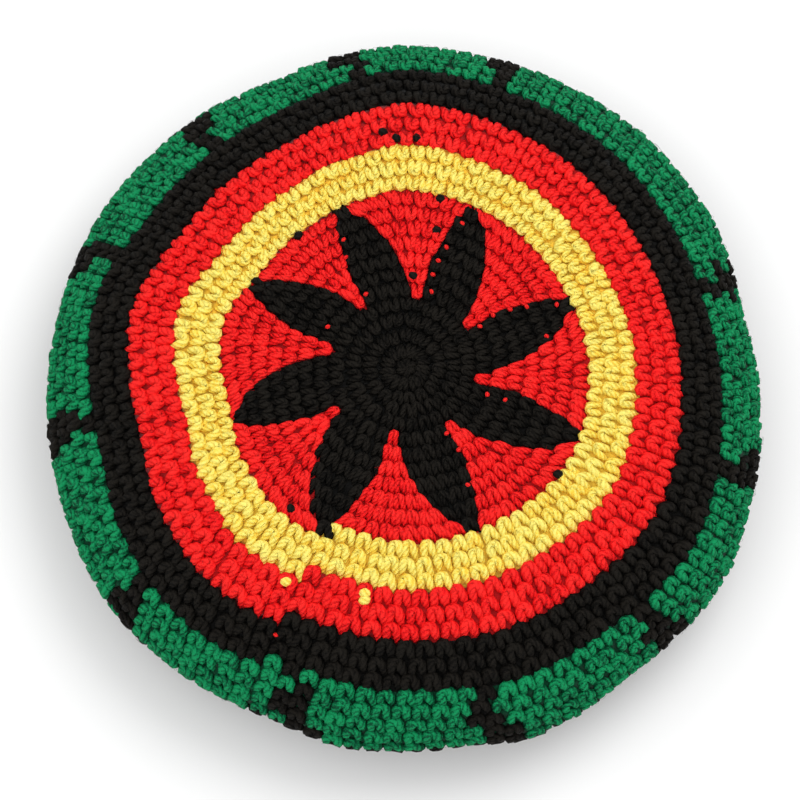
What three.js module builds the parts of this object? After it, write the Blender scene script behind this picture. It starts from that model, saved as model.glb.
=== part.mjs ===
// A rasta tam: a wide round cap, crocheted as one spiral from the middle of the crown outwards,
// lying the right way up on a table. The crown is nearly flat, rolls over a full rim, runs back
// under itself and draws in to a headband that stands on the table. The cap is hollow, and its
// head opening is open below. Each area of one yarn colour is a piece of its own, a wall as
// thick as the crochet. Lengths are in millimetres, with +Z up. A bearing is in degrees, and
// runs clockwise from +Y as seen from above. "Along" is the distance over the fabric from the
// middle of the crown, down over the rim and back to the hem of the headband.
import * as THREE from 'three';
import { mergeVertices } from 'three/addons/utils/BufferGeometryUtils.js';

// Driving sizes of the cap.
const RIM_RADIUS = 147; // middle of the cap to its widest round
const TOTAL_HEIGHT = 78; // table to the top of the crown
const RIM_HEIGHT = 36; // table to the widest round
const HEADBAND_RADIUS = 92; // outside of the headband
const HEADBAND_HEIGHT = 24; // table to the corner above the headband
const CORNER_RADIUS = 6; // round of that corner
const WALL = 4.2; // thickness of the crochet

// Widths of the colours, measured over the fabric.
const CENTRE_RADIUS = 29; // all-black middle of the star
const STAR_RADIUS = 73.5; // middle of the crown to the yellow
const YELLOW_WIDTH = 19.2;
const RED_WIDTH = 20.4;
const BLACK_WIDTH = 20.8;
const GREEN_WIDTH = 33.8; // runs a round past the widest one, where the photo still shows it
const BLACK_GAP_WIDTH = 7; // black stitches that part two green blocks
const ROUND_HEIGHT = 6.5; // one round of stitches, which the spiral climbs in a turn
const SEAM_GAP = 0.4; // clearance between neighbouring colours

// How far the cap has slumped out of true on the table.
const CROWN_SHIFT_X = 1.4; // middle of the crown, to the right of the middle of the rim
const CROWN_SHIFT_Y = 2.1; // and towards the foot of the photo
const RING_DRIFT = 5; // most that a ring of the crown lies in or out of its place
const RIM_DENT = 4.4; // most that the rim stands in or out of round
const RIM_SAG = 2.5; // most that the rim lies above or below its height

// Finish of the grid that carries the shape.
const COLUMN_STEP = 5; // degrees between two columns of corners
const STEP_SIDE = 0.15; // degrees that the side of a black gap takes
const JOG_START = 205; // degrees, the bearing where a round ends and the next begins
const JOG_END = 210; // degrees, where the step between them is done
const TURN = 360;

// Crown from its middle to the rim: radius as a share of RIM_RADIUS, and height above the rim
// as a share of the height of the crown above the rim.
const CROWN_SECTIONS = [
  { radius: 0.0, height: 1.0 },
  { radius: 0.27, height: 0.995 },
  { radius: 0.5, height: 0.965 },
  { radius: 0.63, height: 0.905 },
  { radius: 0.757, height: 0.75 },
  { radius: 0.87, height: 0.51 },
  { radius: 0.955, height: 0.25 },
  { radius: 1.0, height: 0.0 },
];

// Underside from the rim to the headband: inset as a share of the way in from the rim to the
// headband, and height as a share of RIM_HEIGHT.
const UNDER_SECTIONS = [
  { inset: 0.035, height: 0.8 },
  { inset: 0.14, height: 0.64 },
  { inset: 0.36, height: 0.57 },
  { inset: 0.62, height: 0.6 },
];

// Corner above the headband: steps out from HEADBAND_RADIUS and down from HEADBAND_HEIGHT, as
// shares of CORNER_RADIUS.
const CORNER_SECTIONS = [
  { out: 1.7, down: 0.0 },
  { out: 0.45, down: 0.25 },
  { out: 0.0, down: 1.0 },
];

// Outline of the rim from above: how far it stands out, as a share of RIM_DENT, and how high it
// lies, as a share of RIM_SAG.
const RIM_FOLDS = [
  { bearing: 0, out: 0.43, lift: 0.3 },
  { bearing: 20, out: 0.5, lift: -0.4 },
  { bearing: 42, out: 0.63, lift: -0.8 },
  { bearing: 56, out: 0.23, lift: -0.2 },
  { bearing: 78, out: -0.87, lift: 0.7 },
  { bearing: 91, out: -0.33, lift: 0.2 },
  { bearing: 103, out: 0.13, lift: -0.1 },
  { bearing: 122, out: 0.9, lift: -0.9 },
  { bearing: 141, out: 0.37, lift: 0.1 },
  { bearing: 160, out: 1.0, lift: -0.5 },
  { bearing: 171, out: 0.23, lift: 0.5 },
  { bearing: 188, out: 0.33, lift: -0.2 },
  { bearing: 203, out: -0.4, lift: 0.8 },
  { bearing: 218, out: -0.07, lift: 0.0 },
  { bearing: 230, out: 0.2, lift: -0.4 },
  { bearing: 256, out: -0.27, lift: -0.7 },
  { bearing: 280, out: -0.57, lift: 0.2 },
  { bearing: 305, out: -0.3, lift: -0.6 },
  { bearing: 327, out: -0.53, lift: 0.3 },
  { bearing: 338, out: -0.77, lift: 1.0 },
  { bearing: 351, out: 0.07, lift: 0.5 },
];

// Rings of the crown: how far each lies out of its place, as a share of RING_DRIFT.
const RING_FOLDS = [
  { bearing: 0, out: 0.3 },
  { bearing: 25, out: -0.1 },
  { bearing: 55, out: -0.3 },
  { bearing: 90, out: 0.3 },
  { bearing: 120, out: 0.95 },
  { bearing: 165, out: 0.35 },
  { bearing: 200, out: 0.0 },
  { bearing: 220, out: 0.3 },
  { bearing: 240, out: -0.3 },
  { bearing: 256, out: -0.85 },
  { bearing: 284, out: 0.1 },
  { bearing: 305, out: -1.0 },
  { bearing: 325, out: -0.9 },
  { bearing: 345, out: -0.3 },
];

// Bearings of the eight petal tips.
const PETAL_TIPS = [21.8, 67.4, 112.1, 157.7, 205.0, 252.4, 299.1, 337.8]; // degrees

// Outline of a petal: how far out a row lies, as a share of the way from the black middle to the
// tip, and how far its two edges lie from the tip's bearing, as shares of the way to the petal
// before and the petal after. Each petal leans, so its two edges differ.
const PETAL_ROWS = [
  { reach: 0.0, before: 0.225, after: 0.64 },
  { reach: 0.34, before: 0.22, after: 0.45 },
  { reach: 0.61, before: 0.135, after: 0.293 },
  { reach: 0.88, before: 0.067, after: 0.129 },
];

// Bearings of the black gaps between the green blocks. The block after the first gap is long.
const GAP_BEARINGS = [18.8, 72.8, 105.6, 134.7, 167, 199.2, 231.1, 263.3, 294.1, 323.4, 352.1]; // degrees

const CROWN_HEIGHT = TOTAL_HEIGHT - RIM_HEIGHT;
const UNDER_REACH = RIM_RADIUS - HEADBAND_RADIUS;

// The line that the outside of the fabric follows, as (radius, height), from the middle of the
// crown to the hem.
const meridian = new THREE.CatmullRomCurve3(
  [
    ...CROWN_SECTIONS.map((section) => new THREE.Vector3(
      section.radius * RIM_RADIUS,
      0,
      RIM_HEIGHT + section.height * CROWN_HEIGHT,
    )),
    ...UNDER_SECTIONS.map((section) => new THREE.Vector3(
      RIM_RADIUS - section.inset * UNDER_REACH,
      0,
      section.height * RIM_HEIGHT,
    )),
    ...CORNER_SECTIONS.map((section) => new THREE.Vector3(
      HEADBAND_RADIUS + section.out * CORNER_RADIUS,
      0,
      HEADBAND_HEIGHT - section.down * CORNER_RADIUS,
    )),
    new THREE.Vector3(HEADBAND_RADIUS, 0, 0),
  ],
  false,
  'centripetal',
);
meridian.arcLengthDivisions = 800;
const HEM_ALONG = meridian.getLength();
const HEADBAND_ALONG = HEM_ALONG - (HEADBAND_HEIGHT - CORNER_RADIUS);
const YELLOW_ALONG = STAR_RADIUS + YELLOW_WIDTH;
const RED_ALONG = YELLOW_ALONG + RED_WIDTH;
const BLACK_ALONG = RED_ALONG + BLACK_WIDTH;
const GREEN_ALONG = BLACK_ALONG + GREEN_WIDTH;

const smooth = THREE.MathUtils.smoothstep;
const wrap = (bearing) => THREE.MathUtils.euclideanModulo(bearing, TURN);

// The value of one column of a table of folds at a bearing, eased from row to row round the cap.
function foldAt(table, column, bearing) {
  const turned = wrap(bearing);
  const last = table[table.length - 1];
  const first = table[0];
  let before = { ...last, bearing: last.bearing - TURN };
  for (const row of [...table, { ...first, bearing: first.bearing + TURN }]) {
    if (row.bearing > turned) {
      const share = smooth(turned, before.bearing, row.bearing);
      return before[column] + (row[column] - before[column]) * share;
    }
    before = row;
  }
  return before[column];
}

// A point of the fabric at a bearing, a distance along it and a depth into its wall.
function fabricPoint(bearing, along, depth) {
  const share = THREE.MathUtils.clamp(along / HEM_ALONG, 0, 1);
  const place = meridian.getPointAt(share);
  const heading = meridian.getTangentAt(share);
  const normal = new THREE.Vector2(-heading.z, heading.x);
  if (share === 0) {
    normal.set(0, 1);
  }
  if (share === 1) {
    normal.set(1, 0);
  }
  const outward = smooth(along, STAR_RADIUS, GREEN_ALONG);
  const returning = smooth(along, GREEN_ALONG, HEADBAND_ALONG);
  const rim = outward - returning;
  const ring = smooth(along, CENTRE_RADIUS, YELLOW_ALONG) - smooth(along, BLACK_ALONG, GREEN_ALONG);
  const radius = place.x - normal.x * depth
    + rim * RIM_DENT * foldAt(RIM_FOLDS, 'out', bearing)
    + ring * RING_DRIFT * foldAt(RING_FOLDS, 'out', bearing);
  const height = place.z - normal.y * depth + rim * RIM_SAG * foldAt(RIM_FOLDS, 'lift', bearing);
  const angle = THREE.MathUtils.degToRad(bearing);
  const shift = 1 - smooth(along, CENTRE_RADIUS, GREEN_ALONG);
  return new THREE.Vector3(
    radius * Math.sin(angle) + shift * CROWN_SHIFT_X,
    radius * Math.cos(angle) - shift * CROWN_SHIFT_Y,
    height,
  );
}

// Where a colour ends at a bearing. The rounds are one spiral that climbs as the bearing falls,
// so every colour steps out by a round where it began.
function edgeAt(along, bearing) {
  const climbed = (from) => wrap(JOG_START - from) / TURN;
  const turned = wrap(bearing);
  let climb = climbed(turned);
  if (turned > JOG_START && turned < JOG_END) {
    const step = (turned - JOG_START) / (JOG_END - JOG_START);
    climb = climbed(JOG_END) * step;
  }
  return along + ROUND_HEIGHT * (climb - 0.5);
}

// A wall of fabric on a grid of columns and rows. place(column, row) gives the bearing and the
// distance along of a corner. A ring closes on itself, and any other wall has two ends.
function wallGeometry(columns, rows, ring, place) {
  const corners = [0, WALL].map((depth) => Array.from({ length: columns }, (_, column) => (
    Array.from({ length: rows }, (__, row) => {
      const spot = place(column, row);
      return fabricPoint(spot.bearing, spot.along, depth);
    })
  )));
  const [outer, inner] = corners;
  const positions = [];
  const triangle = (...points) => {
    const same = points.some((point, i) => point.distanceTo(points[(i + 1) % 3]) < 1e-6);
    if (!same) {
      points.forEach((point) => positions.push(point.x, point.y, point.z));
    }
  };
  const quad = (a, b, c, d) => {
    triangle(a, b, c);
    triangle(a, c, d);
  };
  const strips = ring ? columns : columns - 1;
  for (let i = 0; i < strips; i += 1) {
    const j = (i + 1) % columns;
    for (let row = 0; row < rows - 1; row += 1) {
      quad(outer[i][row], outer[j][row], outer[j][row + 1], outer[i][row + 1]);
      quad(inner[i][row], inner[i][row + 1], inner[j][row + 1], inner[j][row]);
    }
    const end = rows - 1;
    quad(outer[j][0], outer[i][0], inner[i][0], inner[j][0]);
    quad(outer[i][end], outer[j][end], inner[j][end], inner[i][end]);
  }
  if (!ring) {
    const end = columns - 1;
    for (let row = 0; row < rows - 1; row += 1) {
      quad(outer[0][row], outer[0][row + 1], inner[0][row + 1], inner[0][row]);
      quad(outer[end][row + 1], outer[end][row], inner[end][row], inner[end][row + 1]);
    }
  }
  const geometry = new THREE.BufferGeometry();
  geometry.setAttribute('position', new THREE.Float32BufferAttribute(positions, 3));
  const merged = mergeVertices(geometry, 1e-4);
  merged.computeVertexNormals();
  return merged;
}

// A ring between two edges, each a function of the bearing.
function ringGeometry(bearings, rows, from, to) {
  return wallGeometry(bearings.length, rows, true, (column, row) => {
    const bearing = bearings[column];
    return { bearing, along: THREE.MathUtils.lerp(from(bearing), to(bearing), row / (rows - 1)) };
  });
}

const evenBearings = Array.from({ length: TURN / COLUMN_STEP }, (_, i) => i * COLUMN_STEP);
const degreesOf = (length, radius) => THREE.MathUtils.radToDeg(length / radius);
const starEdge = (bearing) => edgeAt(STAR_RADIUS, bearing);
const yellowEdge = (bearing) => edgeAt(YELLOW_ALONG, bearing);
const redEdge = (bearing) => edgeAt(RED_ALONG, bearing);
const blackEdge = (bearing) => edgeAt(BLACK_ALONG, bearing);
const greenEdge = (bearing) => edgeAt(GREEN_ALONG, bearing);
const past = (edge) => (bearing) => edge(bearing) + SEAM_GAP;

// Bearings from one end of a block to the other, on the even columns between.
function bearingsBetween(start, end) {
  const inside = [];
  const first = Math.ceil(start / COLUMN_STEP) * COLUMN_STEP;
  for (let bearing = first; bearing < end; bearing += COLUMN_STEP) {
    if (bearing - start > 1 && end - bearing > 1) {
      inside.push(bearing);
    }
  }
  return [start, ...inside, end];
}

// The tips round the cap, with the step from each tip to the next.
const petals = PETAL_TIPS.map((tip, i) => {
  const next = PETAL_TIPS[(i + 1) % PETAL_TIPS.length];
  const previous = PETAL_TIPS[(i + PETAL_TIPS.length - 1) % PETAL_TIPS.length];
  return { tip, toNext: wrap(next - tip), toPrevious: wrap(tip - previous) };
});

// How far along a row of a petal lies. The last row is the star's edge, at its bearing.
function reachAlong(reach, bearing) {
  if (reach === 1) {
    return starEdge(bearing);
  }
  return THREE.MathUtils.lerp(CENTRE_RADIUS, STAR_RADIUS, reach);
}

// The black star: a middle with a petal up to each tip.
function starGeometry() {
  const outline = petals.flatMap((petal) => [
    ...PETAL_ROWS.map((row) => ({
      bearing: petal.tip - row.before * petal.toPrevious,
      reach: row.reach,
    })),
    { bearing: petal.tip, reach: 1 },
    ...[...PETAL_ROWS].reverse().map((row) => ({
      bearing: petal.tip + row.after * petal.toNext,
      reach: row.reach,
    })),
  ]);
  const rows = 6;
  return wallGeometry(outline.length, rows, true, (column, row) => {
    const { bearing, reach } = outline[column];
    return { bearing, along: reachAlong(reach, bearing) * (row / (rows - 1)) };
  });
}

// The red ground between a petal and the next.
function wedgeGeometry(petal) {
  const clear = degreesOf(SEAM_GAP, STAR_RADIUS);
  const columns = bearingsBetween(petal.tip + clear, petal.tip + petal.toNext - clear);
  const shares = columns.map((bearing) => (
    (bearing - columns[0]) / (columns[columns.length - 1] - columns[0])
  ));
  const rows = [...PETAL_ROWS, { reach: 1, before: 0, after: 0 }];
  return wallGeometry(columns.length, rows.length, false, (column, row) => {
    const { reach, before, after } = rows[row];
    const apex = row === 0 ? SEAM_GAP : 0;
    const along = reachAlong(reach, columns[column]) + apex;
    const gap = degreesOf(SEAM_GAP, along);
    const start = petal.tip + after * petal.toNext + gap;
    const end = petal.tip + petal.toNext * (1 - before) - gap;
    return { bearing: THREE.MathUtils.lerp(start, end, shares[column]), along };
  });
}

// The black gaps, each from its first to its last bearing.
const gapTurn = degreesOf(BLACK_GAP_WIDTH, RIM_RADIUS);
const gaps = GAP_BEARINGS.map((bearing) => ({
  start: bearing - gapTurn / 2,
  end: bearing + gapTurn / 2,
}));

// The black band, which runs out to the underside in each gap between two green blocks.
function blackGeometry() {
  const near = (bearing) => gaps.some((gap) => bearing > gap.start - 1 && bearing < gap.end + 1);
  const knots = [
    ...evenBearings.filter((bearing) => !near(bearing)).map((bearing) => ({ bearing, long: false })),
    ...gaps.flatMap((gap) => [
      { bearing: gap.start, long: false },
      { bearing: gap.start + STEP_SIDE, long: true },
      { bearing: gap.end - STEP_SIDE, long: true },
      { bearing: gap.end, long: false },
    ]),
  ].sort((a, b) => a.bearing - b.bearing);
  const rows = 5;
  return wallGeometry(knots.length, rows, true, (column, row) => {
    const { bearing, long } = knots[column];
    const end = long ? greenEdge(bearing) : blackEdge(bearing);
    const start = past(redEdge)(bearing);
    return { bearing, along: THREE.MathUtils.lerp(start, end, row / (rows - 1)) };
  });
}

// A green block, from one black gap to the next.
function greenGeometry(gap, nextGap) {
  const clear = degreesOf(SEAM_GAP, RED_ALONG);
  const end = nextGap.start < gap.end ? nextGap.start + TURN : nextGap.start;
  const columns = bearingsBetween(gap.end + clear, end - clear);
  const rows = 5;
  return wallGeometry(columns.length, rows, false, (column, row) => {
    const bearing = columns[column];
    const share = row / (rows - 1);
    return {
      bearing,
      along: THREE.MathUtils.lerp(past(blackEdge)(bearing), greenEdge(bearing), share),
    };
  });
}

// Yarn, by colour.
const yarn = {
  black: { color: 0x151413, roughness: 0.92 },
  red: { color: 0xd92a22, roughness: 0.88 },
  yellow: { color: 0xf3c440, roughness: 0.88 },
  green: { color: 0x0e8b4c, roughness: 0.88 },
};

const cap = new THREE.Group();

function addPiece(name, colour, geometry) {
  const material = new THREE.MeshStandardMaterial({ ...yarn[colour], metalness: 0 });
  const mesh = new THREE.Mesh(geometry, material);
  mesh.name = name;
  cap.add(mesh);
}

addPiece('black_star', 'black', starGeometry());
petals.forEach((petal, i) => addPiece(`red_wedge_${i + 1}`, 'red', wedgeGeometry(petal)));
addPiece('yellow_band', 'yellow', ringGeometry(evenBearings, 3, past(starEdge), yellowEdge));
addPiece('red_band', 'red', ringGeometry(evenBearings, 3, past(yellowEdge), redEdge));
addPiece('black_band', 'black', blackGeometry());
gaps.forEach((gap, i) => {
  const number = String(i + 1).padStart(2, '0');
  const geometry = greenGeometry(gap, gaps[(i + 1) % gaps.length]);
  addPiece(`green_block_${number}`, 'green', geometry);
});
addPiece('underside', 'black', ringGeometry(evenBearings, 8, past(greenEdge), () => HEADBAND_ALONG));
addPiece(
  'headband',
  'black',
  ringGeometry(evenBearings, 3, () => HEADBAND_ALONG + SEAM_GAP, () => HEM_ALONG),
);

// The cap stands with the middle of its footprint on the origin.
const middle = new THREE.Box3().setFromObject(cap, true).getCenter(new THREE.Vector3());
cap.position.set(-middle.x, -middle.y, 0);
const group = new THREE.Group();
group.add(cap);

export default group;
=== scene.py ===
# %% [markdown]
# # A rasta tam, crocheted stitch by stitch
# A tam is a wide round cap. This one is crocheted in a spiral of single crochet: the maker
# starts with a ring of black stitches in the middle of the crown, adds stitches in every round
# so that the disc lies flat, changes the yarn to draw an eight-petal star and three rings, then
# leaves stitches out so that the fabric rolls over a rim and draws in to a headband.
#
# We build it the same way. The shape of the cloth is one surface, worked out as a formula, and
# every stitch is a loop of yarn laid on that surface. The yarn's colour comes from a chart.

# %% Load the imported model
import bpy
import numpy as np
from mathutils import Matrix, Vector


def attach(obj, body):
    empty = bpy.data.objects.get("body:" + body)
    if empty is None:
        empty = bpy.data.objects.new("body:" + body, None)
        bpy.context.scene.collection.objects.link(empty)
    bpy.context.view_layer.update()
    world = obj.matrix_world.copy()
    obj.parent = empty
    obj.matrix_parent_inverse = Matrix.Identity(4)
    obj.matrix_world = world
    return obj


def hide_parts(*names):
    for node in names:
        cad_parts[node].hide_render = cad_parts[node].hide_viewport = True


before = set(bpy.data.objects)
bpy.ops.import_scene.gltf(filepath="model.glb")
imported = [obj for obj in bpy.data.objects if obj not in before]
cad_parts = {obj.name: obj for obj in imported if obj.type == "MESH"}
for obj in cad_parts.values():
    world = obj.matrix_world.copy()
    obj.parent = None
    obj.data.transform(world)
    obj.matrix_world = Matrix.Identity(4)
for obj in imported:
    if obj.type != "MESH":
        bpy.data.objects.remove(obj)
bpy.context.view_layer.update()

# %% [markdown]
# ## The shape of the cloth
# The cap is nearly a solid of revolution: a line from the middle of the crown over the rim to
# the hem, carried round the axis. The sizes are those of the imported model, apart from a narrower
# seam and three folds on the left that stand out by up to 1.3 mm more. The rings are measured
# over the cloth, which is how a maker measures too: so many rounds of yellow, so many of red.

# %% Sizes of the cap
# lengths in metres, bearings in degrees clockwise from +Y, which is the head of the photo
MM = 0.001
RIM_RADIUS = 147 * MM
TOTAL_HEIGHT = 78 * MM
RIM_HEIGHT = 36 * MM
HEADBAND_RADIUS = 92 * MM
HEADBAND_HEIGHT = 24 * MM
CORNER_RADIUS = 6 * MM
WALL = 4.2 * MM
CENTRE_RADIUS = 29 * MM
STAR_RADIUS = 73.5 * MM
YELLOW_WIDTH = 19.2 * MM
RED_WIDTH = 20.4 * MM
BLACK_WIDTH = 20.8 * MM
GREEN_WIDTH = 33.8 * MM
ROUND_HEIGHT = 6.5 * MM
SEAM_GAP = 0.1 * MM
CROWN_SHIFT = (1.4 * MM, -2.1 * MM)
RING_DRIFT = 5 * MM
RIM_DENT = 4.4 * MM
RIM_SAG = 2.5 * MM
SEAT = (-0.1 * MM, -0.77 * MM)
TURN = 360.0
JOG_START, JOG_END = 205.0, 210.0

# radius as a share of the rim's, height as a share of the crown's above the rim
CROWN_SECTIONS = [
    (0.0, 1.0), (0.27, 0.995), (0.5, 0.965), (0.63, 0.905),
    (0.757, 0.75), (0.87, 0.51), (0.955, 0.25), (1.0, 0.0),
]
# way in from the rim to the headband as a share, height as a share of the rim's
UNDER_SECTIONS = [(0.035, 0.8), (0.14, 0.64), (0.36, 0.57), (0.62, 0.6)]
# steps out and down from the corner above the headband, as shares of its radius
CORNER_SECTIONS = [(1.7, 0.0), (0.45, 0.25), (0.0, 1.0)]
# bearing, then how far the rim stands out and how high it lies, as shares of RIM_DENT and RIM_SAG
RIM_FOLDS = np.array([
    (0, 0.43, 0.3), (20, 0.5, -0.4), (42, 0.63, -0.8), (56, 0.23, -0.2), (78, -0.87, 0.7),
    (91, -0.33, 0.2), (103, 0.13, -0.1), (122, 0.9, -0.9), (141, 0.37, 0.1), (160, 1.0, -0.5),
    (171, 0.23, 0.5), (188, 0.33, -0.2), (203, -0.4, 0.8), (218, -0.07, 0.0), (230, 0.2, -0.4),
    (256, -0.27, -0.7), (280, -0.5, 0.2), (305, -0.05, -0.6), (327, -0.25, 0.3),
    (338, -0.77, 1.0), (351, 0.07, 0.5),
])
# bearing, and how far the rings of the crown lie out of their place, as a share of RING_DRIFT
RING_FOLDS = np.array([
    (0, 0.3), (25, -0.1), (55, -0.3), (90, 0.3), (120, 0.95), (165, 0.35), (200, 0.0),
    (220, 0.3), (240, -0.3), (256, -0.85), (284, 0.1), (305, -1.0), (325, -0.9), (345, -0.3),
])
print("cap:", 2 * RIM_RADIUS, "m wide,", TOTAL_HEIGHT, "m high, cloth", WALL, "m thick")

# %% [markdown]
# The real cloth rolls over the rim without an edge. Its line could be drawn by hand as a Bezier
# curve, but the Catmull-Rom formula passes through every section by itself, and a table of its
# points gives the place, the distance and the normal wherever they are needed.

# %% The line over the cloth
LINE_STEPS = 120


def catmull_rom(points, steps):
    """A smooth line through points. Between two of them it is a cubic whose slope at each end
    comes from the neighbours, weighed by the square root of the distances to them."""
    first = 2 * points[0] - points[1]
    last = 2 * points[-1] - points[-2]
    p = np.vstack([first, points, last])
    gap = np.sqrt(np.linalg.norm(np.diff(p, axis=0), axis=1))[:, None]
    slope = np.diff(p, axis=0) / gap
    across = (p[2:] - p[:-2]) / (gap[1:] + gap[:-1])
    start = (slope[:-2] - across[:-1] + slope[1:-1]) * gap[1:-1]
    end = (slope[1:-1] - across[1:] + slope[2:]) * gap[1:-1]
    a, b = p[1:-2], p[2:-1]
    t = np.linspace(0, 1, steps, endpoint=False)[None, :, None]
    a, b, start, end = (v[:, None, :] for v in (a, b, start, end))
    line = a + start * t + (3 * (b - a) - 2 * start - end) * t**2 + (2 * (a - b) + start + end) * t**3
    return np.vstack([line.reshape(-1, points.shape[1]), points[-1:]])


def lengths(line):
    """The distance from the first point of a line at each of its points."""
    steps = np.linalg.norm(np.diff(line, axis=-2), axis=-1)
    return np.concatenate([np.zeros_like(steps[..., :1]), np.cumsum(steps, axis=-1)], axis=-1)


sections = np.array(
    [(r * RIM_RADIUS, RIM_HEIGHT + h * (TOTAL_HEIGHT - RIM_HEIGHT)) for r, h in CROWN_SECTIONS]
    + [(RIM_RADIUS - i * (RIM_RADIUS - HEADBAND_RADIUS), h * RIM_HEIGHT) for i, h in UNDER_SECTIONS]
    + [(HEADBAND_RADIUS + o * CORNER_RADIUS, HEADBAND_HEIGHT - d * CORNER_RADIUS)
       for o, d in CORNER_SECTIONS]
    + [(HEADBAND_RADIUS, 0.0)]
)
LINE = catmull_rom(sections, LINE_STEPS)
LINE_ALONG = lengths(LINE)
heading = np.gradient(LINE, LINE_ALONG, axis=0)
heading /= np.linalg.norm(heading, axis=1)[:, None]
LINE_NORMAL = np.column_stack([-heading[:, 1], heading[:, 0]])
LINE_NORMAL[0] = (0, 1)
LINE_NORMAL[-1] = (1, 0)
HEM_ALONG = LINE_ALONG[-1]
HEADBAND_ALONG = HEM_ALONG - (HEADBAND_HEIGHT - CORNER_RADIUS)
YELLOW_ALONG = STAR_RADIUS + YELLOW_WIDTH
RED_ALONG = YELLOW_ALONG + RED_WIDTH
BLACK_ALONG = RED_ALONG + BLACK_WIDTH
GREEN_ALONG = BLACK_ALONG + GREEN_WIDTH
print("crown to hem over the cloth:", round(HEM_ALONG / MM, 1), "mm")

# %% [markdown]
# A cap that lies on a table is never quite round. Two short tables hold its dents: how far the
# rim stands in or out at each bearing, and how far the rings of the crown have drifted. They are
# eased from row to row, and faded in and out along the cloth, so no dent has an edge.

# %% From a place on the cloth to a place in space
def ease(x, low, high):
    """0 below low, 1 above high, and 3t^2 - 2t^3 between."""
    t = np.clip((x - low) / (high - low), 0, 1)
    return t * t * (3 - 2 * t)


def fold(table, column, bearing):
    """A column of a table of folds at any bearing, eased from row to row round the cap."""
    at = np.concatenate([[table[-1, 0] - TURN], table[:, 0], [table[0, 0] + TURN]])
    value = np.concatenate([table[-1:, column], table[:, column], table[:1, column]])
    turned = np.mod(bearing, TURN)
    i = np.clip(np.searchsorted(at, turned, side="right") - 1, 0, len(at) - 2)
    return value[i] + (value[i + 1] - value[i]) * ease(turned, at[i], at[i + 1])


def cloth(bearing, along, height):
    """The place in space of a bearing, a distance along the cloth and a height off its face:
    the line over the cloth, pushed along its normal, moved by the folds and turned round Z."""
    r, z = [np.interp(along, LINE_ALONG, LINE[:, axis])
            + height * np.interp(along, LINE_ALONG, LINE_NORMAL[:, axis]) for axis in (0, 1)]
    rim = ease(along, STAR_RADIUS, GREEN_ALONG) - ease(along, GREEN_ALONG, HEADBAND_ALONG)
    ring = ease(along, CENTRE_RADIUS, YELLOW_ALONG) - ease(along, BLACK_ALONG, GREEN_ALONG)
    r = r + rim * RIM_DENT * fold(RIM_FOLDS, 1, bearing)
    r = r + ring * RING_DRIFT * fold(RING_FOLDS, 1, bearing)
    z = z + rim * RIM_SAG * fold(RIM_FOLDS, 2, bearing)
    shift = 1 - ease(along, CENTRE_RADIUS, GREEN_ALONG)
    angle = np.radians(bearing)
    x = r * np.sin(angle) + shift * CROWN_SHIFT[0] + SEAT[0]
    y = r * np.cos(angle) + shift * CROWN_SHIFT[1] + SEAT[1]
    return np.stack(np.broadcast_arrays(x, y, z), axis=-1)


def edge_at(along, bearing):
    """Where a colour ends at a bearing. The rounds are one spiral that climbs as the bearing
    falls, so each colour steps out by a round where it began."""
    climb = np.mod(JOG_START - bearing, TURN) / TURN
    turned = np.mod(bearing, TURN)
    step = (turned - JOG_START) / (JOG_END - JOG_START)
    between = (turned > JOG_START) & (turned < JOG_END)
    climb = np.where(between, step * np.mod(JOG_START - JOG_END, TURN) / TURN, climb)
    return along + ROUND_HEIGHT * (climb - 0.5)


print("crown top:", cloth(np.zeros(1), np.zeros(1), np.zeros(1))[0].round(4))

# %% [markdown]
# ## The chart
# A crochet chart says how many stitches each round has and which yarn works each of them. The
# petals lean, because a stitch always sits a little to one side of the one below it. The chart
# could be a picture, a cell for each stitch, but a table with a petal's two edges at a few rounds
# says the same and can be changed. Each petal and each red wedge takes a whole number of
# stitches in a round, so the steps along its edge are a stitch wide, as they are in yarn.

# %% Petals, gaps and rounds
# a petal's edges before and after its tip, as shares of the way to the next tip, from the middle
# of the star out to the tip
PETAL_TIPS = np.array([21.8, 67.4, 112.1, 157.7, 205.0, 252.4, 299.1, 337.8])
PETAL_REACH = np.array([0.0, 0.34, 0.61, 0.88, 1.0])
PETAL_BEFORE = np.array([0.225, 0.22, 0.135, 0.067, 0.0])
PETAL_AFTER = np.array([0.64, 0.45, 0.293, 0.129, 0.0])
TO_NEXT = np.mod(np.roll(PETAL_TIPS, -1) - PETAL_TIPS, TURN)
TO_LAST = np.roll(TO_NEXT, 1)
# bearings of the black gaps between the green blocks
GAPS = np.array([18.8, 72.8, 105.6, 134.7, 167.0, 199.2, 231.1, 263.3, 294.1, 323.4, 352.1])
BLOCKS = np.array([f"green_block_{k + 1:02d}" for k in range(len(GAPS))])
# stitches in each round, from the middle of the crown to the hem
STAR_ROUNDS = [6, 12, 18, 24, 32, 40, 48, 56, 64, 72, 80, 80]
BLACK_ROUNDS_IN_CENTRE = 5
BANDS = [
    ("yellow_band", STAR_RADIUS, YELLOW_ALONG, [80, 82, 84]),
    ("red_band", YELLOW_ALONG, RED_ALONG, [88, 92, 96]),
    ("black_band", RED_ALONG, BLACK_ALONG, [100, 106, 110]),
    ("green", BLACK_ALONG, GREEN_ALONG, [114, 118, 122, 124, 124]),
    ("underside", GREEN_ALONG, HEADBAND_ALONG, [122, 120, 116, 110, 104, 98, 92, 88, 88]),
    ("headband", HEADBAND_ALONG, HEM_ALONG, [88, 88, 88]),
]
# black stitches in a gap in each round of the rim, and degrees that a gap leans in each round
GAP_STITCHES = [1, 1, 2, 2, 2]
GAP_LEAN = -0.5
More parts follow.
